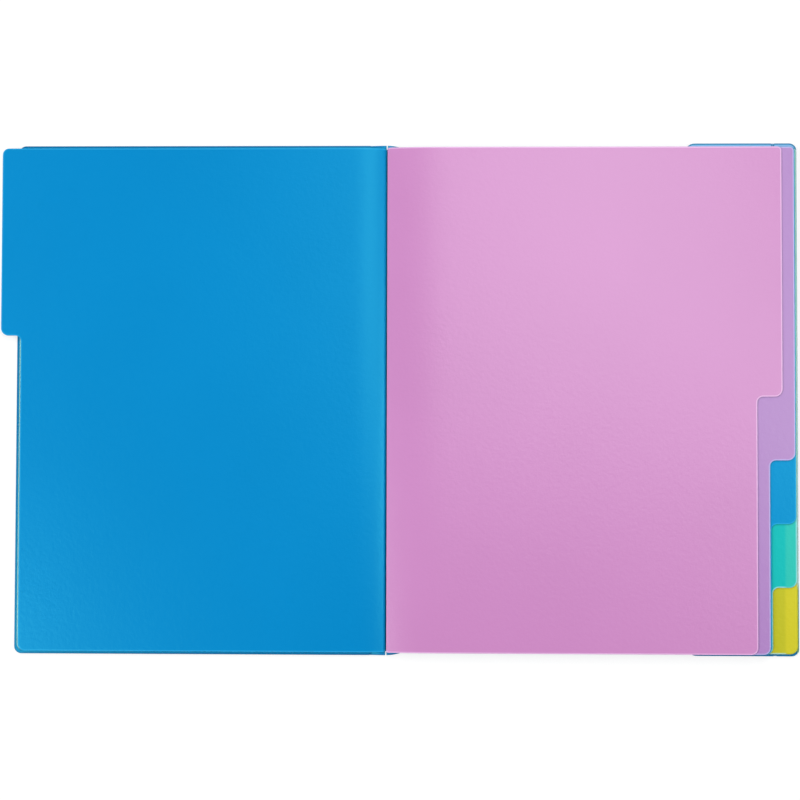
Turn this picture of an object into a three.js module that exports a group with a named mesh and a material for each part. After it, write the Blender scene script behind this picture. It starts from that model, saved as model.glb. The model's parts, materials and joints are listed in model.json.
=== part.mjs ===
// Expanding file, lying open on a table.
//
// Eight pocket leaves with stepped index tabs are bound at the gutter, between a front cover and a wider
// back cover. The left stack holds the front cover and pockets 1 to 3, the right stack the back cover and
// pockets 8 to 4, and the closing flap is folded under the back cover.
//
// Millimetres, +Z up, X across the open file, Y up the page. All leaves turn about one line along Y, the
// hinge line over the gutter. The sizes below are written from that line (x = 0) and from the table (z = 0),
// and the finished group is moved so that the origin is under the middle of the open file.

import * as THREE from 'three';

// Pages
const pageHeight = 298;
const leftPageWidth = 217.3;
const rightPageWidth = 217.3;
const tuckedPageWidth = 224.8;
const leftPageStep = 0.6;
const tuckedPageStep = 0.9;
const bindingInset = 0.6;
const pageCornerRadius = 4;
const boundCornerRadius = 1.2;
const panelThickness = 0.4;
const leafClearance = 0.2;

// Index tabs
const leftTabReach = 11.9;
const rightTabReach = 14.8;
const leftTabStep = 0.3;
const rightTabStep = 0.6;
const rightTabLift = 1.6;
const leftTabTopRadius = 3.8;
const rightTabTopRadius = 2.4;
const tabEndRadius = 4.5;
const tabRootRadius = 3.5;

// What joins the two panels of a pocket
const pocketGap = 0.3;
const spineWeldWidth = 0.7;
const bottomGussetDepth = 10;

// Covers and spine
const coverThickness = 0.8;
const frontCoverMargin = 2;
const backCoverMargin = 0.5;
const frontCoverWidth = 220.3;
const coverCornerRadius = 4.3;
const spineHalfWidth = 9;
const creaseGap = 0.3;
const spineThickness = 0.5;

// Closing flap
const flapMargin = 3.1;
const flapOverlap = 30.6;
const flapCornerRadius = 6;
const foldClearance = 0.3;
const edgeClearance = 0.35;
const flapCreaseGap = 0.3;

// Hook-and-loop coins
const coinDiameter = 19;
const coinThickness = 0.8;
const coinInset = 14;
const coinFromPageEnd = 50;
const coinClearance = 0.3;

// Colours, from the first pocket to the last
const pocketColours = [0xc8c32d, 0x1bc0ba, 0x008ed2, 0xd49ad0, 0xb48bc9, 0x0098d4, 0x1bc0ba, 0xc8c32d];
const coverColour = 0x0f86c4;
const coinColour = 0x1b6ea6;

const LEFT = -1;
const RIGHT = 1;
const pocketCount = pocketColours.length;
const turnedLeft = 3;
const tabPitch = pageHeight / pocketCount;

// The front cover, the spine and the flap stand past the page's ends, and the back cover hardly does
const frontHalfHeight = pageHeight / 2 + frontCoverMargin;
const backHalfHeight = pageHeight / 2 + backCoverMargin;
const flapHalfHeight = pageHeight / 2 + flapMargin;
const coinY = pageHeight / 2 - coinFromPageEnd;

// Heights: each stack starts on the coins that touch the table
const leafThickness = 2 * panelThickness + pocketGap;
const leafPitch = leafThickness + leafClearance;
const frontCoverBottom = coinThickness;
const flapBottom = coinThickness;
const flapTop = flapBottom + coverThickness;
const backCoverBottom = flapTop + foldClearance;
const leftStackBottom = frontCoverBottom + coverThickness + leafClearance;
const rightStackBottom = backCoverBottom + coverThickness + leafClearance;

// A leaf has one slot in each stack, and the hinge line lies halfway between the two
const lowestLeftMiddle = leftStackBottom + leafThickness / 2;
const highestRightMiddle = rightStackBottom + leafThickness / 2 + (pocketCount - 1) * leafPitch;
const hingeHeight = (lowestLeftMiddle + highestRightMiddle) / 2;

// The edge fold stands clear of the widest tab, so that the closed edge panel passes it
const widestPage = tuckedPageWidth + rightTabReach + (pocketCount - turnedLeft - 2) * rightTabStep;
const backCoverWidth = widestPage + edgeClearance / 2;
const edgeHingeX = widestPage + edgeClearance + foldClearance / 2 + coverThickness;
const edgeHingeHeight = flapTop + foldClearance / 2;
const closedCoverTop = 2 * hingeHeight - frontCoverBottom;
const closedFlapInside = closedCoverTop + 2 * coinThickness + coinClearance;
const gussetWidth = closedFlapInside - edgeHingeHeight;
const flapCreaseX = edgeHingeX - gussetWidth;

// The closed flap reaches over the front cover, and its hook coins come down on the cover's loop coins
const closedFlapEdge = frontCoverWidth - flapOverlap;
const closedCreaseX = edgeHingeX - (edgeHingeHeight - flapBottom);
const flapWidth = closedCreaseX - closedFlapEdge;
const flapFreeEdge = flapCreaseX - flapWidth;
const hookCoinX = flapFreeEdge + coinInset;
const loopCoinX = -(closedFlapEdge + coinInset);

function sheetMaterial(colour) {
  return new THREE.MeshStandardMaterial({ color: colour, roughness: 0.42, metalness: 0 });
}

function fleeceMaterial(colour) {
  return new THREE.MeshStandardMaterial({ color: colour, roughness: 0.95, metalness: 0 });
}

// A closed outline through corner points [x, y, radius], with an arc in place of each corner
function roundedOutline(corners) {
  const shape = new THREE.Shape();
  const points = corners.map(([x, y]) => new THREE.Vector2(x, y));
  corners.forEach(([, , radius], index) => {
    const corner = points[index];
    const before = points[(index + points.length - 1) % points.length];
    const after = points[(index + 1) % points.length];
    const arriving = corner.clone().sub(before).normalize();
    const leaving = after.clone().sub(corner).normalize();
    const start = corner.clone().addScaledVector(arriving, -radius);
    const centre = start.clone().addScaledVector(leaving, radius);
    const end = corner.clone().addScaledVector(leaving, radius);
    const startAngle = Math.atan2(start.y - centre.y, start.x - centre.x);
    const endAngle = Math.atan2(end.y - centre.y, end.x - centre.x);
    const clockwise = arriving.cross(leaving) < 0;
    if (index === 0) {
      shape.moveTo(start.x, start.y);
    } else {
      shape.lineTo(start.x, start.y);
    }
    shape.absarc(centre.x, centre.y, radius, startAngle, endAngle, clockwise);
  });
  return shape;
}

// A flat piece of sheet with its underside at a given height
function sheet(name, outline, bottom, thickness, material) {
  const arcSteps = 6;
  const geometry = new THREE.ExtrudeGeometry(outline, {
    depth: thickness,
    bevelEnabled: false,
    curveSegments: arcSteps,
  });
  const mesh = new THREE.Mesh(geometry, material);
  mesh.name = name;
  mesh.position.z = bottom;
  return mesh;
}

function strip(name, [x0, x1], [y0, y1], bottom, thickness, material) {
  const geometry = new THREE.BoxGeometry(Math.abs(x1 - x0), y1 - y0, thickness);
  const mesh = new THREE.Mesh(geometry, material);
  mesh.name = name;
  mesh.position.set((x0 + x1) / 2, (y0 + y1) / 2, bottom + thickness / 2);
  return mesh;
}

// Front or back cover: square at the spine, rounded at the outer corners
function coverPanel(name, side, innerX, outerX) {
  const [halfHeight, bottom] = side === LEFT
    ? [frontHalfHeight, frontCoverBottom]
    : [backHalfHeight, backCoverBottom];
  const outline = roundedOutline([
    [side * innerX, halfHeight, boundCornerRadius],
    [side * outerX, halfHeight, coverCornerRadius],
    [side * outerX, -halfHeight, coverCornerRadius],
    [side * innerX, -halfHeight, boundCornerRadius],
  ]);
  return sheet(name, outline, bottom, coverThickness, sheetMaterial(coverColour));
}

function covers() {
  const group = new THREE.Group();
  const frontCover = coverPanel('front_cover', LEFT, spineHalfWidth, frontCoverWidth);
  const backCover = coverPanel('back_cover', RIGHT, spineHalfWidth, backCoverWidth);
  group.add(frontCover, backCover);
  return group;
}

// The flexible panel under the gutter, halfway up the step between the covers
function spineWeb() {
  const halfWidth = spineHalfWidth - creaseGap;
  const lowestLeaf = Math.min(leftStackBottom, rightStackBottom);
  const bottom = lowestLeaf - leafClearance / 2 - spineThickness;
  return strip('spine_web', [-halfWidth, halfWidth], [-frontHalfHeight, frontHalfHeight],
    bottom, spineThickness, sheetMaterial(coverColour));
}

// The edge panel and the flap, folded under the back cover
function closingFlap() {
  const group = new THREE.Group();
  const material = sheetMaterial(coverColour);
  const gussetInner = flapCreaseX + flapCreaseGap / 2;
  const gussetOuter = edgeHingeX - foldClearance;
  const flapOuter = flapCreaseX - flapCreaseGap / 2;
  const gussetOutline = roundedOutline([
    [gussetInner, flapHalfHeight, boundCornerRadius],
    [gussetOuter, flapHalfHeight, coverCornerRadius],
    [gussetOuter, -flapHalfHeight, coverCornerRadius],
    [gussetInner, -flapHalfHeight, boundCornerRadius],
  ]);
  group.add(sheet('edge_gusset', gussetOutline, flapBottom, coverThickness, material));
  const flapOutline = roundedOutline([
    [flapOuter, flapHalfHeight, boundCornerRadius],
    [flapFreeEdge, flapHalfHeight, flapCornerRadius],
    [flapFreeEdge, -flapHalfHeight, flapCornerRadius],
    [flapOuter, -flapHalfHeight, boundCornerRadius],
  ]);
  group.add(sheet('closing_flap', flapOutline, flapBottom, coverThickness, material));
  return group;
}

// Each coin lies on the table, under the sheet that carries it
function coins(prefix, x) {
  const group = new THREE.Group();
  const coinSides = 32;
  for (const [place, side] of [['upper', 1], ['lower', -1]]) {
    const radius = coinDiameter / 2;
    const geometry = new THREE.CylinderGeometry(radius, radius, coinThickness, coinSides);
    const mesh = new THREE.Mesh(geometry, fleeceMaterial(coinColour));
    mesh.name = `${prefix}_${place}`;
    mesh.rotation.x = Math.PI / 2;
    mesh.position.set(x, side * coinY, coinThickness / 2);
    group.add(mesh);
  }
  return group;
}

// How many steps wider than the stack's first page a pocket's page is. The top one on the right is apart.
function pageSteps(number) {
  return number <= turnedLeft ? turnedLeft - number : Math.max(0, number - turnedLeft - 2);
}

// How far a pocket's page reaches from the hinge line, without its tab
function pageWidth(number) {
  if (number <= turnedLeft) {
    return leftPageWidth + pageSteps(number) * leftPageStep;
  }
  const isTop = number === turnedLeft + 1;
  return isTop ? rightPageWidth : tuckedPageWidth + pageSteps(number) * tuckedPageStep;
}

// How far it reaches with its tab. The tabs step out less than the pages.
function tabWidth(number) {
  if (number <= turnedLeft) {
    return leftPageWidth + leftTabReach + pageSteps(number) * leftTabStep;
  }
  const isTop = number === turnedLeft + 1;
  const narrowest = isTop ? rightPageWidth : tuckedPageWidth;
  return narrowest + rightTabReach + pageSteps(number) * rightTabStep;
}

// The page with its tab, which runs from the top edge down to its own end
function pageOutline(number, side) {
  const top = pageHeight / 2;
  const bodyX = side * pageWidth(number);
  const tabX = side * tabWidth(number);
  const [tabTopRadius, tabLift] = side === LEFT ? [leftTabTopRadius, 0] : [rightTabTopRadius, rightTabLift];
  const tabEnd = top - number * tabPitch + tabLift;
  const inner = side * bindingInset;
  const corners = [[inner, top, boundCornerRadius], [tabX, top, tabTopRadius]];
  if (number < pocketCount) {
    corners.push([tabX, tabEnd, tabEndRadius], [bodyX, tabEnd, tabRootRadius]);
    corners.push([bodyX, -top, pageCornerRadius]);
  } else {
    corners.push([tabX, -top, tabEndRadius]);
  }
  corners.push([inner, -top, boundCornerRadius]);
  return roundedOutline(corners);
}

// A pocket is two like panels, joined by a weld at the spine and a gusset at the bottom. Its front panel
// faces up in the right stack and down in the left stack.
function pocket(number) {
  const group = new THREE.Group();
  const side = number <= turnedLeft ? LEFT : RIGHT;
  const leavesBelow = side === LEFT ? number - 1 : pocketCount - number;
  const stackBottom = side === LEFT ? leftStackBottom : rightStackBottom;
  const lowerBottom = stackBottom + leavesBelow * leafPitch;
  const gapBottom = lowerBottom + panelThickness;
  const upperBottom = gapBottom + pocketGap;
  const [lower, upper] = side === LEFT ? ['front', 'back'] : ['back', 'front'];
  const material = sheetMaterial(pocketColours[number - 1]);
  const outline = pageOutline(number, side);
  group.add(sheet(`pocket_${number}_${lower}_panel`, outline, lowerBottom, panelThickness, material));
  group.add(sheet(`pocket_${number}_${upper}_panel`, outline, upperBottom, panelThickness, material));

  const halfHeight = pageHeight / 2 - pageCornerRadius;
  const weldEnd = side * (bindingInset + spineWeldWidth);
  group.add(strip(`pocket_${number}_spine_weld`, [side * bindingInset, weldEnd],
    [-halfHeight, halfHeight], gapBottom, pocketGap, material));
  const gussetStart = weldEnd + side * leafClearance;
  const gussetEnd = side * (pageWidth(number) - pageCornerRadius);
  const pageFoot = -pageHeight / 2;
  group.add(strip(`pocket_${number}_bottom_gusset`, [gussetStart, gussetEnd],
    [pageFoot, pageFoot + bottomGussetDepth], gapBottom, pocketGap, material));
  return group;
}

const expandingFile = new THREE.Group();
expandingFile.add(covers(), spineWeb(), closingFlap());
expandingFile.add(coins('hook_coin', hookCoinX), coins('loop_coin', loopCoinX));
for (let number = 1; number <= pocketCount; number += 1) {
  expandingFile.add(pocket(number));
}

// The origin goes under the middle of the open file
const leftEnd = -tabWidth(1);
const rightEnd = edgeHingeX - foldClearance;
expandingFile.position.x = -(leftEnd + rightEnd) / 2;

export default expandingFile;
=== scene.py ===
# %% [markdown]
# # An expanding file of coloured plastic sheet
#
# The file lies open on a white table. Eight pocket leaves with stepped index tabs are bound at the
# gutter: three are turned to the left, five lie on the right. The covers lie under them, and the closing
# flap is folded under the back cover. The CAD model gives every piece its place and size. Here each flat
# solid is replaced by a sheet with a worked edge, a slight wave and a dip towards the gutter, because
# thin plastic never lies as flat as a drawing.

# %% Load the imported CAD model
import json
import math

import bpy
import numpy as np
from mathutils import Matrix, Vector
from mathutils.geometry import delaunay_2d_cdt


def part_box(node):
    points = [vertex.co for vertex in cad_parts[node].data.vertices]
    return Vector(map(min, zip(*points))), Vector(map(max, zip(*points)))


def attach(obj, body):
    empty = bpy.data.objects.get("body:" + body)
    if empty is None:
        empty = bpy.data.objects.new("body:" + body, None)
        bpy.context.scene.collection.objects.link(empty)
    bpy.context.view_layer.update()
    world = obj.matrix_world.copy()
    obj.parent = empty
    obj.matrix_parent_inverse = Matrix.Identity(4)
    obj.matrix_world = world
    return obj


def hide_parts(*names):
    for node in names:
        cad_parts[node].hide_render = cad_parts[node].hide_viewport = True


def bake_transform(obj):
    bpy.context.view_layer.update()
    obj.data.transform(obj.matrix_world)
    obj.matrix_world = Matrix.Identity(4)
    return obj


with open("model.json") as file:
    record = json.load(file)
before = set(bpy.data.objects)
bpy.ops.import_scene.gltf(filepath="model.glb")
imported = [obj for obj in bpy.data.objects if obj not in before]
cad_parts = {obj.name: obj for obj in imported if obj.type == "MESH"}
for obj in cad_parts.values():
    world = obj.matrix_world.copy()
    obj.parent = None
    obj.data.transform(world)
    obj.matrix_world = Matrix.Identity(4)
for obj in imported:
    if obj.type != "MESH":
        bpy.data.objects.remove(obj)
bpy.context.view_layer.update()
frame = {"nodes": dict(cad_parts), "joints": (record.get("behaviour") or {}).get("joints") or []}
print("CAD nodes:", len(frame["nodes"]))

# %% Places that the other cells measure from
mm = 0.001
joint_at = {joint["name"]: Vector(joint["pos_m"]) for joint in frame["joints"]}
gutter_x = joint_at["front_cover_turn"].x
page_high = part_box("pocket_4_front_panel")[1]
front_low, front_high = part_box("front_cover")
back_low, back_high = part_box("back_cover")
flap_low, flap_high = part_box("closing_flap")
gusset_low, gusset_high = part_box("edge_gusset")
print("gutter at x =", round(gutter_x / mm, 2), "mm, top page at z =", round(page_high.z / mm, 2), "mm")

# %% [markdown]
# ## Camera
#
# The photograph was taken from almost straight above, at about arm's length. A wide lens close by would
# show the sides of the stack, and a long lens far away would show none, so the distance matters as much
# as the frame. The camera leans by under three degrees, because the file's sides run apart a little
# towards the bottom of the picture.

# %% Camera over the file
camera_place = Vector((24.0 * mm, -35.0 * mm, 1.0))
camera_lean = (math.radians(1.98), math.radians(1.28), math.radians(0.11))
camera_lens = 75.9

camera_data = bpy.data.cameras.new("camera")
camera = bpy.data.objects.new("camera", camera_data)
bpy.context.scene.collection.objects.link(camera)
bpy.context.scene.camera = camera
camera.rotation_mode = "ZYX"
camera.rotation_euler = camera_lean
camera.location = camera_place
camera_data.sensor_width = 36.0
camera_data.lens = camera_lens
camera_data.clip_end = 20
print("camera", round(camera_place.z, 2), "m over the table, lens", camera_lens, "mm")

# %% [markdown]
# ## Light
#
# A product photograph of glossy sheet is lit with large soft lamps whose mirror images miss the camera,
# so that the colours stay deep. The lamp over the upper right leaves a broad sheen on the right page. The
# small bright one at the far right shows where the left page bends down to the gutter, and the one at the
# lower left shows in that page's lower corner. Two weaker ones light the far sides. The levels are plain:
# white paper would come out about white.

# %% Soft lamps and a dim room
scene = bpy.context.scene
scene.view_settings.view_transform = "Standard"


def soft_lamp(name, place, width, depth, brightness, aimed=True):
    """A rectangular lamp of a given brightness, where 1 is white. It faces the file, or straight down."""
    data = bpy.data.lights.new(name, "AREA")
    data.shape = "RECTANGLE"
    data.size = width
    data.size_y = depth
    data.energy = brightness * math.pi * width * depth
    lamp = bpy.data.objects.new(name, data)
    scene.collection.objects.link(lamp)
    lamp.location = place
    if aimed:
        lamp.rotation_euler = (-lamp.location).to_track_quat("-Z", "Y").to_euler()
    return lamp


soft_lamp("box_over_the_right_page", (0.25, 0.43, 1.5), 0.6, 0.91, 3.3, aimed=False)
soft_lamp("box_at_the_far_right", (0.95, -0.05, 1.5), 0.34, 0.32, 23.0, aimed=False)
soft_lamp("box_at_the_lower_left", (-0.98, -0.58, 1.5), 0.56, 0.6, 12.0, aimed=False)
soft_lamp("side_box_top", (0.0, 1.45, 1.75), 1.6, 0.8, 3.2)
soft_lamp("side_box_left", (-1.5, 0.3, 1.7), 1.2, 1.0, 2.7)

room_light = 0.12
world = bpy.data.worlds.new("dim_room")
scene.world = world
world.use_nodes = True
room = world.node_tree.nodes["Background"]
room.inputs["Color"].default_value = (1, 1, 1, 1)

# %% [markdown]
# ## Shader maths as Python expressions
#
# A material is a tree of nodes, and a long chain of Math nodes is hard to read. This small class wraps
# one output socket. Arithmetic on it adds the Math nodes, so a pattern reads like the formula it is. The
# same class works in a Geometry Nodes tree, because both kinds of tree share the Math node.

# %% The socket class


class Sock:
    """One output socket of a node tree, with the operators of Python."""

    def __init__(self, tree, plug):
        self.tree = tree
        self.plug = plug

    @classmethod
    def node(cls, tree, kind, settings=None, values=None, out=0):
        """Adds a node: its settings first, then the values or links of its inputs."""
        made = tree.nodes.new(kind)
        for key, value in (settings or {}).items():
            setattr(made, key, value)
        for key, value in (values or {}).items():
            if isinstance(value, cls):
                tree.links.new(value.plug, made.inputs[key])
            else:
                made.inputs[key].default_value = value
        return cls(tree, made.outputs[out])

    @classmethod
    def mix(cls, tree, factor, first, second):
        """A colour between two others. A Mix node's colours are its inputs 6 and 7 and its output 2."""
        values = {"Factor": factor, 6: first, 7: second}
        return cls.node(tree, "ShaderNodeMix", {"data_type": "RGBA"}, values, out=2)

    def output(self, name):
        """Another output of the same node."""
        return Sock(self.tree, self.plug.node.outputs[name])

    def maths(self, operation, *values):
        inputs = dict(enumerate(values))
        return Sock.node(self.tree, "ShaderNodeMath", {"operation": operation}, inputs)

    def __add__(self, other):
        return self.maths("ADD", self, other)

    __radd__ = __add__

    def __sub__(self, other):
        return self.maths("SUBTRACT", self, other)

    def __rsub__(self, other):
        return self.maths("SUBTRACT", other, self)

    def __mul__(self, other):
        return self.maths("MULTIPLY", self, other)

    __rmul__ = __mul__

    def __truediv__(self, other):
        return self.maths("DIVIDE", self, other)

    def __rtruediv__(self, other):
        return self.maths("DIVIDE", other, self)

    def __pow__(self, other):
        return self.maths("POWER", self, other)

    def sine(self):
        return self.maths("SINE", self)

    def size(self):
        return self.maths("ABSOLUTE", self)

    def clamp(self, low=0.0, high=1.0):
        return self.maths("MINIMUM", self.maths("MAXIMUM", self, low), high)

    def smooth(self, start, end):
        """0 before start, 1 after end, and a soft step between."""
        values = {"Value": self, "From Min": start, "From Max": end}
        return Sock.node(self.tree, "ShaderNodeMapRange", {"interpolation_type": "SMOOTHSTEP"}, values)


print("socket class ready")

# %% [markdown]
# ## Materials
#
# Every sheet is the same polypropylene in another colour: a fine grain that only shows inside a
# highlight, faint scuffs from handling, and a cut edge of another tone. On the pages that edge is painted
# paler than the face, a painted edge light, because light that entered the sheet leaves it there; on the
# cover it is painted darker, a painted shade. The mesh carries an attribute called rim, 0 on the face and
# 1 at a cut edge, so the tone follows every rounded corner. Where a sheet sits in the binding, rim is -1
# and the edge is painted almost black, as painted shade of the gutter.

# %% Colours as written on the pages


def linear(code):
    """A colour written as a web code, as Blender's linear values."""
    parts = [int(code[i:i + 2], 16) / 255 for i in (1, 3, 5)]
    values = [p / 12.92 if p <= 0.04045 else ((p + 0.055) / 1.055) ** 2.4 for p in parts]
    return (*values, 1.0)


# Face and cut edge of each sheet: the pages' paler edges are painted edge light, the cover's darker edge is
# painted shade
sheet_colours = {
    "sheet_yellow": (linear("#BDBB26"), linear("#AAD2BE")),
    "sheet_teal": (linear("#14B8B4"), linear("#8CD8DA")),
    "sheet_blue": (linear("#0086CB"), linear("#229CDA")),
    "sheet_pink": (linear("#CC86C3"), linear("#E4B0E2")),
    "sheet_violet": (linear("#AC7DC2"), linear("#B4A8E2")),
    "sheet_cover": (linear("#0F86C4"), linear("#0A6BA8")),
}
# The outer strip of the lowest tabs, under which no other tab lies, is painted lighter as painted light
painted_light_strip_colours = {"sheet_yellow": linear("#CEC62A"), "sheet_teal": linear("#34C0B2")}
# The fold round the right edge: painted highlight on face and cut edge, and painted shade beside the last tab
painted_highlight_fold_colours = (linear("#B5E6EA"), linear("#A5DCE4"))
painted_shade_fold_low_colour = linear("#6E9A6E")
# Painted light: a lighter band at the upper end of the flap's sheets
flap_painted_light_colour = linear("#8FB4EA")
# Painted shade: the gutter's shade, painted on the edges that sit in the binding
gutter_shade_colour = linear("#06405F")
tape_colour = linear("#1B6EA6")
print("sheet colours:", len(sheet_colours))

# %% Places where a face is painted lighter or darker, as painted light and painted shade
strip_start = 234.1 * mm
strip_blur = 1.2 * mm
low_end_from, low_end_to = 106 * mm, 112 * mm
light_band_from, light_band_to = 149.2 * mm, 149.8 * mm


def painted_light_strip(x, y):
    """The last part of a tab, under which no other tab lies, painted lighter as painted light."""
    return (x - gutter_x).size().smooth(strip_start - strip_blur, strip_start + strip_blur)


def lower_end(x, y):
    """The lower end of the file, beside the last tab, where the fold gets painted shade instead of its
    painted highlight.
    """
    return (0.0 - y).smooth(low_end_from, low_end_to)


def painted_light_band(x, y):
    """The upper end of the folded flap, beside its cut edge, where a lighter band is painted as painted
    light.
    """
    return y.smooth(light_band_from, light_band_to)


# The outer strip and the upper band are painted light; the lower end carries the fold's painted shade
print("places with a tone of their own: outer strip, lower end, upper hem")

# %% [markdown]
# The sheen has a tint, too. A mirror image of a white lamp would turn the deep blue and teal pale, and the
# real sheets keep their colour under the lamps.

# %% Plastic sheet
sheet_roughness = 0.3
sheet_shine = 0.75
cloud_scale = 9.0
speckle_scale = 480.0
scratch_turn = 0.5
scratch_stretch = (22.0, 420.0, 22.0)
grain_strength = 0.24
grain_depth = 0.3 * mm
cloud_shades = (0.985, 1.015)


def new_material(name):
    """A material with its tree, its shader and the Object coordinates."""
    material = bpy.data.materials.new(name)
    material.use_nodes = True
    tree = material.node_tree
    place = Sock.node(tree, "ShaderNodeTexCoord", out="Object")
    return material, tree, tree.nodes["Principled BSDF"], place


def feed(shader, sockets):
    """Links sockets to the shader's inputs of these names."""
    for name, socket in sockets.items():
        socket.tree.links.new(socket.plug, shader.inputs[name])


def noise(tree, place, scale, detail, roughness=0.5):
    values = {"Vector": place, "Scale": scale, "Detail": detail, "Roughness": roughness}
    return Sock.node(tree, "ShaderNodeTexNoise", None, values)


def plastic_sheet(name, colour, edge_colour, sheen, zone=None, zone_colour=None):
    """Matt plastic sheet with a cut edge of another tone. zone(x, y) is 1 where the face gets zone_colour, a
    painted light or painted shade.
    """
    material, tree, shader, place = new_material(name)
    cloud = noise(tree, place, cloud_scale, 2.0)
    speckle = noise(tree, place, speckle_scale, 2.0, 0.6)
    stretched = Sock.node(
        tree, "ShaderNodeMapping", None,
        {"Vector": place, "Rotation": (0, 0, scratch_turn), "Scale": scratch_stretch},
    )
    scuff = noise(tree, stretched, 1.0, 3.0).smooth(0.62, 0.75) * cloud.smooth(0.45, 0.7)
    deep, bright = (tuple(min(c * shade, 1) for c in colour[:3]) + (1.0,) for shade in cloud_shades)
    face = Sock.mix(tree, cloud.smooth(0.3, 0.7), deep, bright)
    if zone:
        across = Sock.node(tree, "ShaderNodeSeparateXYZ", None, {0: place})
        along = across.output("Y")
        mask = zone(across, along)
        face = Sock.mix(tree, mask, face, zone_colour)
    # Painted light strip: at its lower end the edge keeps the face colour, without the painted edge light
    if zone is painted_light_strip:
        edge_colour = Sock.mix(tree, mask * lower_end(across, along), edge_colour, colour)
    rim = Sock.node(tree, "ShaderNodeAttribute", {"attribute_name": "rim"}, out="Fac")
    # The rim carries the edge tone: painted edge light on the pages, painted shade on the cover
    edged = Sock.mix(tree, rim.clamp(), face, edge_colour)
    # Painted shade: where rim is -1, the edge in the binding is painted almost black
    with_gutter_shade = Sock.mix(tree, (0.0 - rim).clamp(), edged, gutter_shade_colour)
    matt = (cloud - 0.5) * 0.02 + (speckle - 0.5) * 0.06 + scuff * 0.05 + sheet_roughness
    grain = Sock.node(
        tree, "ShaderNodeBump", None,
        {"Strength": grain_strength, "Distance": grain_depth, "Height": speckle},
    )
    feed(shader, {"Base Color": with_gutter_shade, "Roughness": matt, "Normal": grain})
    shader.inputs["Specular Tint"].default_value = (*sheen, 1.0)
    shader.inputs["Specular IOR Level"].default_value = sheet_shine
    return material


white_sheen = (1.0, 1.0, 1.0)
cool_sheen = (0.1, 0.85, 0.8)
warm_sheen = (1.0, 1.0, 0.2)
sheens = {"sheet_yellow": warm_sheen, "sheet_pink": white_sheen, "sheet_violet": white_sheen}
materials = {}
for name, colours in sheet_colours.items():
    # Yellow and teal get a strip of painted light at the outer end of the tab
    painted_light_strip_colour = painted_light_strip_colours.get(name)
    zone = painted_light_strip if painted_light_strip_colour else None
    materials[name] = plastic_sheet(name, *colours, sheens.get(name, cool_sheen), zone, painted_light_strip_colour)
# The fold is painted pale as a painted highlight, and darker at its lower end as painted shade
materials["fold_painted_highlight"] = plastic_sheet("fold_painted_highlight", *painted_highlight_fold_colours, cool_sheen, lower_end, painted_shade_fold_low_colour)
# The flap's sheets get a band of painted light at their upper end
materials["sheet_flap"] = plastic_sheet(
    "sheet_flap", *sheet_colours["sheet_cover"], cool_sheen, painted_light_band, flap_painted_light_colour
)
print("sheet materials:", sorted(materials))

# %% [markdown]
# Hook-and-loop tape is a woven ground with nylon hooks or a brushed pile. At this size the weave is a
# fine checker of light and dark threads, and the fibres shine less than the ground.

# %% Hook and loop tape
thread_dark = 0.6
thread_light = 0.08
fibre_sheen = 0.25


def tape(name, colour, thread, roughness):
    """Woven tape: crossing threads, with a fuzzy break-up."""
    material, tree, shader, place = new_material(name)
    across = Sock.node(tree, "ShaderNodeSeparateXYZ", None, {0: place})
    along = across.output("Y")
    turn = 2 * math.pi / thread
    weave = (across * turn).sine() * (along * turn).sine() * 0.5 + 0.5
    fuzz = noise(tree, place, 900.0, 3.0)
    pattern = (weave * 0.6 + fuzz * 0.4).clamp()
    dark = tuple(c * thread_dark for c in colour[:3]) + (1.0,)
    light = tuple(c + (1 - c) * thread_light for c in colour[:3]) + (1.0,)
    cloth = Sock.mix(tree, pattern, dark, light)
    bump = Sock.node(
        tree, "ShaderNodeBump", None, {"Strength": 0.5, "Distance": 0.2 * mm, "Height": pattern}
    )
    feed(shader, {"Base Color": cloth, "Roughness": (fuzz - 0.5) * 0.1 + roughness, "Normal": bump})
    shader.inputs["Sheen Weight"].default_value = fibre_sheen
    return material


materials["hook_tape"] = tape("hook_tape", tape_colour, 0.9 * mm, 0.55)
materials["loop_tape"] = tape("loop_tape", tape_colour, 0.7 * mm, 0.9)
print("tape materials made")

# %% [markdown]
# ## Table
#
# The table is one large white sheet. Its own colour makes a part of the white, and for the camera it glows
# by the part that is missing, so the soft shadow of the file stays. Away from the file the colour fades
# out and the glow is all of the white. Beyond the table the room is white for the camera, too, so the
# picture is white from every side.

# %% Table top
floor_share = 0.38
full_white = 1.04
paint_fade = (0.4, 0.85)
table_half = 3.0
floor_mesh = bpy.data.meshes.new("table")
table_corners = ((-1, -1), (1, -1), (1, 1), (-1, 1))
floor_mesh.from_pydata([(x * table_half, y * table_half, 0) for x, y in table_corners], [], [(0, 1, 2, 3)])
floor = bpy.data.objects.new("table", floor_mesh)
scene.collection.objects.link(floor)
floor_material, floor_tree, floor_shader, floor_place = new_material("white_table")
floor_mesh.materials.append(floor_material)
floor_shader.inputs["Roughness"].default_value = 0.9
floor_shader.inputs["Specular IOR Level"].default_value = 0.1
radius = Sock.node(
    floor_tree, "ShaderNodeVectorMath", {"operation": "LENGTH"}, {0: floor_place}, out="Value"
)
painted = 1.0 - radius.smooth(*paint_fade)
glow_share = (full_white - floor_share) / full_white
paint = Sock.mix(floor_tree, painted, (0, 0, 0, 1), (floor_share, floor_share, floor_share, 1))
glow = Sock.mix(floor_tree, painted, (1, 1, 1, 1), (glow_share, glow_share, glow_share, 1))
ray = Sock.node(floor_tree, "ShaderNodeLightPath")
seen = ray.output("Is Camera Ray") + ray.output("Is Glossy Ray") + ray.output("Is Transmission Ray")
feed(floor_shader, {
    "Base Color": paint, "Emission Color": glow, "Emission Strength": seen.clamp() * full_white,
})

horizon = Sock.node(world.node_tree, "ShaderNodeLightPath")
feed(room, {"Strength": room_light + horizon.output("Is Camera Ray") * (1.0 - room_light)})
print("table is", 2 * table_half, "m wide")

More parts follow.
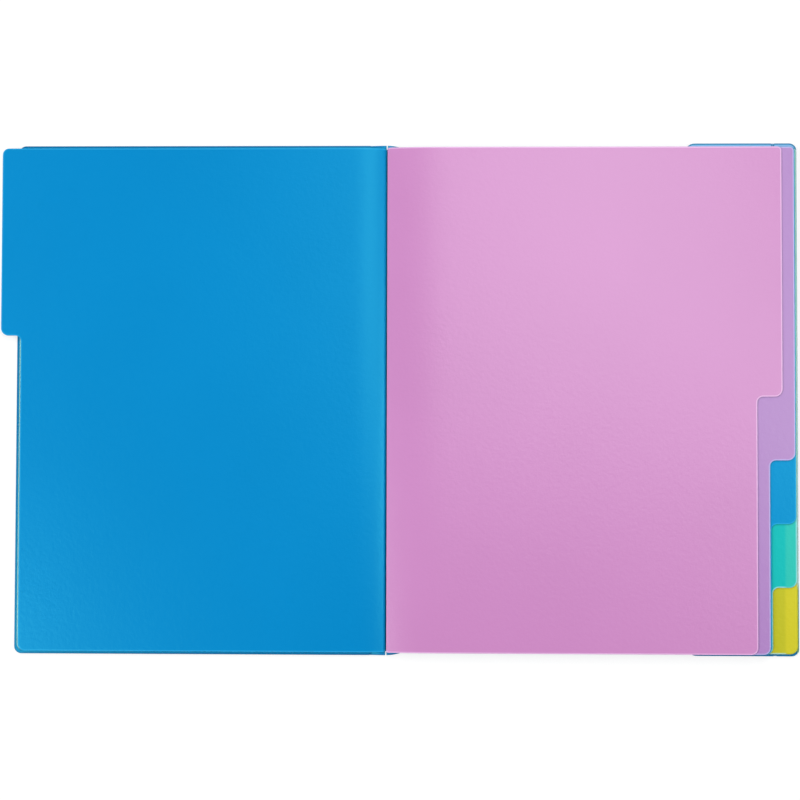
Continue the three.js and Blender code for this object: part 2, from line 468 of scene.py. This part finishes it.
# %% [markdown]
# ## Outlines
#
# Every page is cut from flat sheet with a knife of one outline: straight runs, rounded corners, and a
# hollow round where the tab steps back to the page. A list of corners with radii says all of it. The
# points along the straight runs are spaced evenly, so that the sheet can bend between them.

# %% Rounded outline


def rounded(corners, arc_steps=8, run=4.5 * mm):
    """Points of a closed outline, counter-clockwise, through corners (x, y, radius)."""
    count = len(corners)
    turns = []
    for index, (x, y, radius) in enumerate(corners):
        corner = Vector((x, y))
        arriving = (corner - Vector(corners[index - 1][:2])).normalized()
        leaving = (Vector(corners[(index + 1) % count][:2]) - corner).normalized()
        start = corner - arriving * radius
        centre = start + leaving * radius
        end = corner + leaving * radius
        first, last = start - centre, end - centre
        turned = first.angle_signed(last)
        arc = []
        for step in range(arc_steps + 1):
            angle = -turned * step / arc_steps
            spun = Vector((
                first.x * math.cos(angle) - first.y * math.sin(angle),
                first.x * math.sin(angle) + first.y * math.cos(angle),
            ))
            arc.append(centre + spun)
        turns.append(arc)
    points = []
    for index, arc in enumerate(turns):
        points.extend(arc)
        onward = turns[(index + 1) % count][0]
        gap = onward - arc[-1]
        steps = max(1, round(gap.length / run))
        points.extend(arc[-1] + gap * (step / steps) for step in range(1, steps))
    area = sum(a.x * b.y - b.x * a.y for a, b in zip(points, points[1:] + points[:1]))
    if area < 0:
        points.reverse()
    return points


least_square = 0.3


def inset(points, amount):
    """The outline moved inwards by an amount. A sharp corner moves no further than least_square allows."""
    moved = []
    count = len(points)
    for index, point in enumerate(points):
        before = (point - points[index - 1]).normalized()
        after = (points[(index + 1) % count] - point).normalized()
        inward = Vector((-(before.y + after.y), before.x + after.x)).normalized()
        square = max(least_square, inward.dot(Vector((-after.y, after.x))))
        moved.append(point + inward * (amount / square))
    return moved


print("outline builder ready")

# %% [markdown]
# ## Sheets
#
# A sheet is two faces and a cut edge. The edge is worked as five rings on each side, from the face over a
# narrow line of the edge's tone and a shoulder to the rounded side, so that it catches the light as a thin
# line. The rim attribute marks it for the material. The faces are triangles between the outline and a
# grid of inner points. The grid is dense beside the gutter, where the page bends most, and wide elsewhere.

# %% Sheet mesh
rim_width = 0.8 * mm
edge_round = 0.1 * mm
line_share = 0.8
shoulder_share = 0.7
bound_reach = 0.05 * mm
inside_only = 1
merge_distance = 1e-7


def inner_points(loop, x_marks, y_marks, clearance=1.6 * mm):
    """Grid points inside a closed loop and clear of its line."""
    if not x_marks or not y_marks:
        return []
    ring = np.array([tuple(p) for p in loop])
    following = np.roll(ring, -1, axis=0)
    grid = np.array([(x, y) for x in x_marks for y in y_marks])
    run = following - ring
    offset = grid[:, None, :] - ring[None, :, :]
    along = np.clip((offset * run).sum(2) / np.maximum((run * run).sum(1), 1e-12), 0, 1)
    nearest = np.linalg.norm(offset - along[:, :, None] * run, axis=2).min(1)
    crosses = (ring[:, 1] > grid[:, 1:2]) != (following[:, 1] > grid[:, 1:2])
    rise = np.where(np.abs(run[:, 1]) < 1e-12, 1e-12, run[:, 1])
    crossing_x = ring[:, 0] + (grid[:, 1:2] - ring[:, 1]) * run[:, 0] / rise
    inside = (crosses & (grid[:, 0:1] < crossing_x)).sum(1) % 2 == 1
    return [Vector(p) for p in grid[inside & (nearest > clearance)]]


def triangles(loop, extra):
    """Counter-clockwise triangles over the loop's points and then the extra points."""
    points = list(loop) + list(extra)
    border = list(range(len(loop)))
    found = delaunay_2d_cdt(points, [], [border], inside_only, merge_distance)
    origin = [sources[0] for sources in found[3]]
    faces = []
    for face in found[2]:
        a, b, c = (origin[i] for i in face)
        spin = (points[b] - points[a]).cross(points[c] - points[a])
        faces.append((a, b, c) if spin > 0 else (a, c, b))
    return faces


def new_object(name, verts, faces, rims, material):
    """A smooth mesh object with its rim attribute."""
    mesh = bpy.data.meshes.new(name)
    mesh.from_pydata([tuple(v) for v in verts], [], faces)
    mesh.attributes.new("rim", "FLOAT", "POINT").data.foreach_set("value", rims)
    mesh.polygons.foreach_set("use_smooth", [True] * len(mesh.polygons))
    mesh.materials.append(material)
    made = bpy.data.objects.new(name, mesh)
    bpy.context.scene.collection.objects.link(made)
    return made


def cut_sheet(name, outline, bottom, top, x_marks, y_marks, material, bound_x=None):
    """A flat sheet between two heights, with rounded cut edges. The side at bound_x sits in the binding and
    gets the painted gutter shade.
    """
    bevel = min(edge_round, (top - bottom) / 4)
    width = max(p.x for p in outline) - min(p.x for p in outline)
    band = min(rim_width, width / 4)
    line = band * line_share
    shoulder = min(edge_round * 1.7, line * shoulder_share)
    half = [
        (band, top, 0.0), (line, top, 1.0), (shoulder, top, 1.0),
        (edge_round, top, 1.0), (0.0, top - bevel, 1.0),
    ]
    levels = half + [(depth, bottom + top - height, rim) for depth, height, rim in reversed(half)]
    verts = []
    rims = []
    for depth, height, rim in levels:
        ring = inset(outline, depth) if depth else outline
        verts += [(p.x, p.y, height) for p in ring]
        for p in outline:
            # Points at the binding get rim -1, which carries the painted gutter shade
            at_binding = bound_x is not None and abs(p.x - bound_x) < bound_reach
            rims.append((0.0 if depth else -1.0) if at_binding else rim)
    count = len(outline)
    faces = []
    for level in range(len(levels) - 1):
        upper = level * count
        lower = upper + count
        for i in range(count):
            j = (i + 1) % count
            faces.append((upper + i, lower + i, lower + j, upper + j))
    face_loop = inset(outline, band)
    middle = inner_points(face_loop, x_marks, y_marks)
    cover_faces = triangles(face_loop, middle)
    last_ring = (len(levels) - 1) * count
    top_start = len(verts)
    verts += [(p.x, p.y, top) for p in middle]
    bottom_start = len(verts)
    verts += [(p.x, p.y, bottom) for p in middle]
    rims += [0.0] * (2 * len(middle))
    upper_index = [i if i < count else top_start + i - count for i in range(count + len(middle))]
    lower_index = [
        last_ring + i if i < count else bottom_start + i - count for i in range(count + len(middle))
    ]
    faces += [tuple(upper_index[i] for i in face) for face in cover_faces]
    faces += [tuple(lower_index[i] for i in reversed(face)) for face in cover_faces]
    return new_object(name, verts, faces, rims, material)


print("sheet builder ready")

# %% [markdown]
# ## How a stack of leaves lies
#
# Bound at the gutter, the leaves are pressed together there and stand apart at their outer edges, so each
# page dips towards the gutter. Dip Reach says where the dip begins, and Dip Power how much of it is left
# for the end. Away from it a sheet still waves by a tenth or two of a millimetre. Both are one rule on a
# point's place, so a Geometry Nodes tree does it for every sheet of a stack. It moves a point in
# proportion to its height over the cover, so sheets that are apart stay apart, in any order.

# %% Helpers for Geometry Nodes trees


def new_tree(name, inputs):
    """A geometry tree with named inputs, and the wrapped outputs of its input node."""
    tree = bpy.data.node_groups.new(name, "GeometryNodeTree")
    tree.interface.new_socket("Geometry", in_out="OUTPUT", socket_type="NodeSocketGeometry")
    tree.interface.new_socket("Geometry", in_out="INPUT", socket_type="NodeSocketGeometry")
    for title, kind in inputs:
        tree.interface.new_socket(title, in_out="INPUT", socket_type="NodeSocket" + kind)
    entry = tree.nodes.new("NodeGroupInput")
    given = {title: Sock(tree, entry.outputs[title]) for title, kind in inputs}
    given["Geometry"] = Sock(tree, entry.outputs["Geometry"])
    return tree, given


def end_tree(tree, shape, material):
    """Ends a tree: instances made real, and the material set."""
    real = Sock.node(tree, "GeometryNodeRealizeInstances", None, {0: shape})
    dressed = Sock.node(tree, "GeometryNodeSetMaterial", None, {"Geometry": real, "Material": material})
    leave = tree.nodes.new("NodeGroupOutput")
    tree.links.new(dressed.plug, leave.inputs["Geometry"])


def grow(piece, tree, values):
    """Runs a tree on a piece with the named input values, and keeps the result as a plain mesh."""
    modifier = piece.modifiers.new("shape", "NODES")
    modifier.node_group = tree
    for item in tree.interface.items_tree:
        if item.item_type == "SOCKET" and item.in_out == "INPUT" and item.name in values:
            modifier[item.identifier] = values[item.name]
    graph = bpy.context.evaluated_depsgraph_get()
    mesh = bpy.data.meshes.new_from_object(
        piece.evaluated_get(graph), preserve_all_data_layers=True, depsgraph=graph
    )
    piece.modifiers.clear()
    old = piece.data
    piece.data = mesh
    bpy.data.meshes.remove(old)
    mesh.name = piece.name
    return piece


print("tree helpers ready")

# %% The tree that shapes a stacked sheet
lie_tree, lie = new_tree("how_a_leaf_lies", [
    ("Gutter", "Float"), ("Base Height", "Float"), ("Dip", "Float"), ("Dip Reach", "Float"),
    ("Dip Power", "Float"), ("Wave", "Float"), ("Wave Length", "Float"), ("Seed", "Float"),
    ("Material", "Material"),
])
place = Sock.node(lie_tree, "GeometryNodeInputPosition")
axes = Sock.node(lie_tree, "ShaderNodeSeparateXYZ", None, {0: place})
from_gutter = (axes - lie["Gutter"]).size()
pressed = (1.0 - from_gutter / lie["Dip Reach"]).clamp() ** lie["Dip Power"] * lie["Dip"]
flat_place = Sock.node(lie_tree, "ShaderNodeCombineXYZ", None, {0: axes, 1: axes.output("Y")})
wave_scale = 1.0 / lie["Wave Length"]
wave = Sock.node(
    lie_tree, "ShaderNodeTexNoise", {"noise_dimensions": "4D"},
    {"Vector": flat_place, "W": lie["Seed"], "Scale": wave_scale, "Detail": 0.0},
)
share = 1.0 - pressed - wave.smooth(0.25, 0.75) * lie["Wave"]
new_height = lie["Base Height"] + (axes.output("Z") - lie["Base Height"]) * share
new_place = Sock.node(
    lie_tree, "ShaderNodeCombineXYZ", None, {0: axes, 1: axes.output("Y"), 2: new_height}
)
moved = Sock.node(
    lie_tree, "GeometryNodeSetPosition", None, {"Geometry": lie["Geometry"], "Position": new_place}
)
end_tree(lie_tree, moved, lie["Material"])

left_lie = {
    "Gutter": gutter_x, "Base Height": front_high.z, "Dip": 0.6, "Dip Reach": 18 * mm,
    "Dip Power": 2.2, "Wave": 0.03, "Wave Length": 0.16, "Seed": 3.0,
}
right_lie = {
    "Gutter": gutter_x, "Base Height": back_high.z, "Dip": 0.42, "Dip Reach": 34 * mm,
    "Dip Power": 2.0, "Wave": 0.03, "Wave Length": 0.18, "Seed": 8.0,
}
print("shaping tree has", len(lie_tree.nodes), "nodes")

# %% [markdown]
# ## Pockets
#
# A pocket is two panels with the same outline, welded along the spine, with a folded gusset between them
# at the bottom and an open mouth at the top and outer side. The tab runs from the top edge down to its
# own end, one eighth of the page further on each leaf. The panels, the weld and the gusset are separate
# sheets that take the same dip and wave. The panels' edges at the gutter are marked as bound and get a
# painted shade, so that the gutter is one dark line.

# %% Page outline and the pockets
# How far each leaf's tab stands past its page, in millimetres
tab_reach = {1: 11.3, 2: 11.6, 3: 11.9, 4: 14.8, 5: 14.8, 6: 14.5, 7: 14.2, 8: 13.9}
last_on_left = 3
tab_lift_right = 1.6 * mm
page_corner = 4.0 * mm
bound_corner = 1.2 * mm
gutter_gap_closed = 0.25 * mm
tab_top_corner_right = 2.4 * mm
tab_top_corner_left = 3.8 * mm
tab_end_corner = 4.5 * mm
tab_root_corner = 3.5 * mm
pocket_count = 8
page_half = page_high.y
pocket_slots = [
    "sheet_yellow", "sheet_teal", "sheet_blue", "sheet_pink",
    "sheet_violet", "sheet_blue", "sheet_teal", "sheet_yellow",
]


def page_outline(number, low, high):
    """The page of one pocket with its tab, from the box of its CAD panel."""
    on_left = high.x < 0
    side = -1 if on_left else 1
    inner, tab = (high.x, low.x) if on_left else (low.x, high.x)
    inner -= side * gutter_gap_closed
    body = tab - side * tab_reach[number] * mm
    tab_top_corner = tab_top_corner_left if on_left else tab_top_corner_right
    tab_end = page_half - number * 2 * page_half / pocket_count + (0 if on_left else tab_lift_right)
    corners = [(inner, page_half, bound_corner), (tab, page_half, tab_top_corner)]
    if number < pocket_count:
        corners += [(tab, tab_end, tab_end_corner), (body, tab_end, tab_root_corner)]
        corners += [(body, -page_half, page_corner)]
    else:
        corners += [(tab, -page_half, tab_end_corner)]
    return rounded(corners + [(inner, -page_half, bound_corner)])


def marks(first, last, steps):
    """Evenly spaced values from first to last."""
    return [first + (last - first) * i / steps for i in range(steps + 1)]


# Distances of the close columns from the page's bound edge, in millimetres
bend_steps = [1.5, 3, 5, 7.5, 10.5, 14, 18, 23, 29, 36, 44]
bound_edge = 0.8
far_columns = 22
page_rows = 34


def page_marks(low, high):
    """Columns and rows of inner points: dense beside the gutter."""
    side = -1 if high.x < 0 else 1
    near = [gutter_x + side * (step + bound_edge) * mm for step in bend_steps]
    far_edge = low.x if side < 0 else high.x
    far = marks(near[-1], far_edge, far_columns)[1:-1]
    return near + far, marks(low.y, high.y, page_rows)[1:-1]


# %% Sheets of all pockets
pocket_pieces = {}
for number in range(1, pocket_count + 1):
    body = f"pocket_{number}"
    slot = pocket_slots[number - 1]
    lie_values = left_lie if number <= last_on_left else right_lie
    for part in ("front_panel", "back_panel", "spine_weld", "bottom_gusset"):
        node = f"{body}_{part}"
        low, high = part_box(node)
        columns, rows = page_marks(low, high)
        bound_x = None
        if part.endswith("panel"):
            outline = page_outline(number, low, high)
            bound_x = max(p.x for p in outline) if high.x < 0 else min(p.x for p in outline)
        else:
            corner = min(bound_corner, (high.x - low.x) * 0.4)
            outline = rounded([
                (low.x, low.y, corner), (high.x, low.y, corner),
                (high.x, high.y, corner), (low.x, high.y, corner),
            ], arc_steps=3)
            columns = [x for x in columns if low.x < x < high.x]
            if part == "bottom_gusset":
                rows = [(low.y + high.y) / 2]
        piece = cut_sheet(
            f"{node}_sheet", outline, low.z, high.z, columns, rows, materials[slot], bound_x
        )
        grow(piece, lie_tree, {**lie_values, "Material": materials[slot]})
        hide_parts(node)
        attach(piece, body)
        pocket_pieces[node] = piece
page_faces = pocket_pieces["pocket_4_front_panel"].data.polygons
print("pocket sheets:", len(pocket_pieces))
print("triangles in one page:", sum(len(face.vertices) - 2 for face in page_faces))

# %% [markdown]
# ## Covers
#
# The covers are thicker sheet than the pages and are cut with a larger corner. The front cover stands two
# millimetres past the pages at the top and bottom, and the back cover hardly at all. They carry the
# stacks, so they lie flat and get no wave.

# %% Front and back cover
cover_corner = 4.3 * mm
cover_columns = 22
cover_rows = 30


def plate_outline(low, high, left, right):
    """A plate's outline with one radius for its left corners and one for its right corners."""
    return rounded([
        (low.x, low.y, left), (high.x, low.y, right), (high.x, high.y, right), (low.x, high.y, left),
    ])


for node, body, left, right in (
    ("front_cover", "front", cover_corner, bound_corner), ("back_cover", "back", bound_corner, cover_corner),
):
    low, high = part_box(node)
    piece = cut_sheet(
        f"{node}_sheet", plate_outline(low, high, left, right), low.z, high.z,
        marks(low.x, high.x, cover_columns)[1:-1], marks(low.y, high.y, cover_rows)[1:-1],
        materials["sheet_cover"], bound_x=high.x if right == bound_corner else low.x,
    )
    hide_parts(node)
    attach(piece, body)
print("covers cut")

# %% [markdown]
# ## Spine, folds and creases
#
# Where the covers and the flap bend, the sheet is one continuous piece with a pressed crease. In the
# frame it is divided at the joints, so a narrow strip bridges each joint. The strip's cross-section is a
# path with a thickness, drawn out along the page, and thins out over its last rows.

# %% A strip drawn out along the page
strip_rows = 30
strip_end = 0.6 * mm
end_round = 0.15 * mm
end_thin = 0.75


def drawn_strip(name, path, thickness, half_length, material, trim=None, slip=0.0):
    """A strip whose cross-section follows a path of (x, z) points.

    trim(x) says how much both ends are shortened, and slip how much the lower end is besides.
    """
    line = [Vector(p) for p in path]
    sides = []
    for index, point in enumerate(line):
        before = line[max(0, index - 1)]
        after = line[min(len(line) - 1, index + 1)]
        run = (after - before).normalized()
        sides.append(Vector((-run.y, run.x)))
    half_thick = thickness / 2
    upper = [p + s * half_thick for p, s in zip(line, sides)]
    lower = [p - s * half_thick for p, s in zip(line, sides)]
    section = upper + lower[::-1]
    straight = half_length - strip_end
    rows = [-half_length, -half_length + end_round]
    rows += marks(-straight, straight, strip_rows)
    rows += [half_length - end_round, half_length]
    verts = []
    rims = []
    for row, y in enumerate(rows):
        at_end = row in (0, len(rows) - 1)
        thin = end_thin if at_end else 1.0
        for index, point in enumerate(section):
            back = 2 * len(line) - 1 - index if index >= len(line) else index
            middle = line[back]
            shaped = middle + (point - middle) * thin
            cut = (trim(middle.x) if trim else 0.0) + (slip if y < 0 else 0.0)
            shorter = 1 - cut / half_length
            verts.append((shaped.x, y * shorter, shaped.y))
            rims.append(1.0 if row in (0, 1, len(rows) - 2, len(rows) - 1) else 0.0)
    count = len(section)
    faces = []
    for row in range(len(rows) - 1):
        here = row * count
        there = here + count
        for i in range(count):
            j = (i + 1) % count
            faces.append((here + i, here + j, there + j, there + i))
    final = (len(rows) - 1) * count
    for i in range(len(line) - 1):
        far = count - 1 - i
        faces.append((i + 1, i, far, far - 1))
        faces.append((final + i, final + i + 1, final + far - 1, final + far))
    return new_object(name, verts, faces, rims, material)


def path_through(points, steps=6):
    """A path with extra points on each straight run."""
    path = []
    for (x0, z0), (x1, z1) in zip(points, points[1:]):
        path += [(x0 + (x1 - x0) * i / steps, z0 + (z1 - z0) * i / steps) for i in range(steps)]
    return path + [points[-1]]


print("strip builder ready")

# %% Spine between the covers
web_low, web_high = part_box("spine_web")
web_middle = (web_low.z + web_high.z) / 2
web_half = (web_high.z - web_low.z) / 2
cover_clearance = 0.02 * mm
under_front = front_low.z - web_half - cover_clearance
under_back = back_low.z - web_half - cover_clearance
cover_lap = 2.5 * mm
lap_end = 0.1 * mm
front_slope = 5.5 * mm
back_slope = 1.5 * mm
notch_half = 0.35 * mm
notch_side = notch_half + 0.05 * mm
notch_limit = (notch_half + notch_side) / 2
notch_depth = 0.4 * mm
spine_path = path_through([
    (front_high.x - cover_lap, under_front), (front_high.x + lap_end, under_front),
    (web_low.x + front_slope, web_middle), (gutter_x - notch_side, web_middle),
])
spine_path += [(gutter_x - notch_half, web_middle), (gutter_x + notch_half, web_middle)]
spine_path += path_through([
    (gutter_x + notch_side, web_middle), (web_high.x - back_slope, web_middle),
    (back_low.x - lap_end, under_back), (back_low.x + cover_lap, under_back),
])


def spine_trim(x):
    """The spine's ends: a small notch at the gutter, then a curve down to the back cover's end."""
    if abs(x - gutter_x) < notch_limit:
        return web_high.y - page_half + notch_depth
    slope = max(0.0, min(1.0, (x - gutter_x) / (back_low.x - gutter_x)))
    return slope ** 2 * (web_high.y - back_high.y)


spine = drawn_strip(
    "spine_sheet", spine_path, 2 * web_half, web_high.y, materials["sheet_cover"], spine_trim
)
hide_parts("spine_web")
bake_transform(spine)
print("spine is", round((back_low.x - front_high.x) / mm, 1), "mm wide")

# %% [markdown]
# The flap doesn't lie quite square under the file: less of it shows at the bottom than at the top. So its
# lower end, with those of the edge panel and the crease, is drawn up a little.

# %% Edge panel and closing flap
flap_slip = 1.6 * mm
flap_corner = 6.0 * mm
flap_columns = 6
for node, body, left, right in (
    ("edge_gusset", "edge", bound_corner, cover_corner), ("closing_flap", "flap", flap_corner, bound_corner),
):
    low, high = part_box(node)
    low = Vector((low.x, low.y + flap_slip, low.z))
    piece = cut_sheet(
        f"{node}_sheet", plate_outline(low, high, left, right), low.z, high.z,
        marks(low.x, high.x, flap_columns)[1:-1], marks(low.y, high.y, cover_rows)[1:-1],
        materials["sheet_flap"],
    )
    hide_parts(node)
    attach(piece, body)
print("edge panel and flap cut")

# %% Fold round the edge, and the crease of the flap
fold_high = (back_low.z + back_high.z) / 2
fold_low = (gusset_low.z + gusset_high.z) / 2
fold_radius = (fold_high - fold_low) / 2
fold_centre_z = (fold_high + fold_low) / 2
fold_thickness = 0.5 * mm
fold_lap = 0.4 * mm
fold_past_cover = 0.8 * mm
fold_steps = 12
fold_reach = gusset_high.x - fold_thickness / 2
fold_centre_x = fold_reach - fold_radius
fold_path = [(back_high.x - fold_lap, fold_high)]
for step in range(fold_steps + 1):
    angle = math.pi / 2 - math.pi * step / fold_steps
    fold_path.append((
        fold_centre_x + fold_radius * math.cos(angle), fold_centre_z + fold_radius * math.sin(angle)
    ))


def corner_trim(x):
    """How far the fold's ends draw back, so that it follows the rounded corner."""
    inwards = cover_corner - (gusset_high.x - x)
    if inwards <= 0:
        return 0.0
    return cover_corner - math.sqrt(max(0.0, cover_corner ** 2 - inwards ** 2))


edge_fold = drawn_strip(
    "edge_fold_sheet", fold_path, fold_thickness, back_high.y + fold_past_cover,
    materials["fold_painted_highlight"], corner_trim,
)
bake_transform(edge_fold)

crease_z = (flap_low.z + flap_high.z) / 2
crease_lap = 0.2 * mm
crease_short = 0.1 * mm
crease_ends = [(gusset_low.x + crease_lap, crease_z), (flap_high.x - crease_lap, crease_z)]
crease = drawn_strip(
    "flap_crease_sheet", path_through(crease_ends, 8), fold_thickness, flap_high.y - crease_short,
    materials["sheet_flap"], slip=flap_slip,
)
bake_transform(crease)
print("folds made")

# %% [markdown]
# ## Fastening coins
#
# The flap closes with two pairs of round hook-and-loop coins. A coin is a woven disc with a field of
# small wires: hooks that curl over on one, closed loops on the other. They repeat hundreds of times, so
# a Geometry Nodes tree scatters one bent wire over the disc with a fixed seed.

# %% The tree that makes a coin
coin_sides = 56
field_sides = 48
field_share = 0.95
most_wires = 4000000.0
wire_lean = 0.25
coin_tree, coin = new_tree("fastening_coin", [
    ("Radius", "Float"), ("Ground", "Float"), ("Wire Height", "Float"), ("Wire Radius", "Float"),
    ("Spacing", "Float"), ("Reach", "Float"), ("End Height", "Float"), ("Place", "Vector"),
    ("Seed", "Int"), ("Material", "Material"),
])
disc = Sock.node(
    coin_tree, "GeometryNodeMeshCylinder", None,
    {"Vertices": coin_sides, "Radius": coin["Radius"], "Depth": coin["Ground"]},
)
disc_rise = Sock.node(coin_tree, "ShaderNodeCombineXYZ", None, {2: coin["Ground"] * 0.5})
disc_up = Sock.node(
    coin_tree, "GeometryNodeTransform", None, {"Geometry": disc, "Translation": disc_rise}
)
ring = Sock.node(
    coin_tree, "GeometryNodeMeshCircle", {"fill_type": "NGON"},
    {"Vertices": field_sides, "Radius": coin["Radius"] * field_share},
)
spots = Sock.node(
    coin_tree, "GeometryNodeDistributePointsOnFaces", {"distribute_method": "POISSON"},
    {"Mesh": ring, "Distance Min": coin["Spacing"], "Density Max": most_wires, "Seed": coin["Seed"]},
)
wire_top = Sock.node(
    coin_tree, "ShaderNodeCombineXYZ", None, {0: coin["Reach"] * 0.4, 2: coin["Wire Height"] * 2.0}
)
wire_end = Sock.node(
    coin_tree, "ShaderNodeCombineXYZ", None, {0: coin["Reach"], 2: coin["End Height"]}
)
wire_line = Sock.node(
    coin_tree, "GeometryNodeCurveQuadraticBezier", None,
    {"Resolution": 6, "Start": (0, 0, 0), "Middle": wire_top, "End": wire_end},
)
wire_round = Sock.node(
    coin_tree, "GeometryNodeCurvePrimitiveCircle", None, {"Resolution": 4, "Radius": coin["Wire Radius"]}
)
wire = Sock.node(
    coin_tree, "GeometryNodeCurveToMesh", None,
    {"Curve": wire_line, "Profile Curve": wire_round, "Fill Caps": True},
)
spin = Sock.node(
    coin_tree, "FunctionNodeRandomValue", {"data_type": "FLOAT_VECTOR"},
    {0: (-wire_lean, -wire_lean, 0), 1: (wire_lean, wire_lean, 6.28), "Seed": coin["Seed"]},
)
field = Sock.node(
    coin_tree, "GeometryNodeInstanceOnPoints", None, {"Points": spots, "Instance": wire, "Rotation": spin}
)
field_rise = Sock.node(coin_tree, "ShaderNodeCombineXYZ", None, {2: coin["Ground"]})
field_up = Sock.node(
    coin_tree, "GeometryNodeTransform", None, {"Geometry": field, "Translation": field_rise}
)
together = coin_tree.nodes.new("GeometryNodeJoinGeometry")
coin_tree.links.new(field_up.plug, together.inputs[0])
coin_tree.links.new(disc_up.plug, together.inputs[0])
placed = Sock.node(
    coin_tree, "GeometryNodeTransform", None,
    {"Geometry": Sock(coin_tree, together.outputs[0]), "Translation": coin["Place"],
     "Rotation": (math.pi, 0, 0)},
)
end_tree(coin_tree, placed, coin["Material"])
print("coin tree has", len(coin_tree.nodes), "nodes")

# %% Four coins
ground_share = 0.5
wire_share = 0.82
wires = {
    "hook": {"Spacing": 0.85 * mm, "Reach": 0.34 * mm, "End Height": 0.16 * mm, "Wire Radius": 0.06 * mm},
    "loop": {"Spacing": 0.70 * mm, "Reach": 0.55 * mm, "End Height": 0.0, "Wire Radius": 0.045 * mm},
}
for kind, body in (("hook", "flap"), ("loop", "front")):
    for seed, place_name in enumerate(("upper", "lower")):
        node = f"{kind}_coin_{place_name}"
        low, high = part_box(node)
        centre = (low + high) / 2
        thick = high.z - low.z
        ground = thick * ground_share
        empty_mesh = bpy.data.meshes.new(node)
        piece = bpy.data.objects.new(f"{node}_tape", empty_mesh)
        scene.collection.objects.link(piece)
        grow(piece, coin_tree, {
            "Radius": (high.x - low.x) / 2, "Ground": ground, "Wire Height": (thick - ground) * wire_share,
            "Place": (centre.x, centre.y, high.z), "Seed": seed + 5,
            "Material": materials[f"{kind}_tape"], **wires[kind],
        })
        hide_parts(node)
        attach(piece, body)
        print(piece.name, "faces:", len(piece.data.polygons))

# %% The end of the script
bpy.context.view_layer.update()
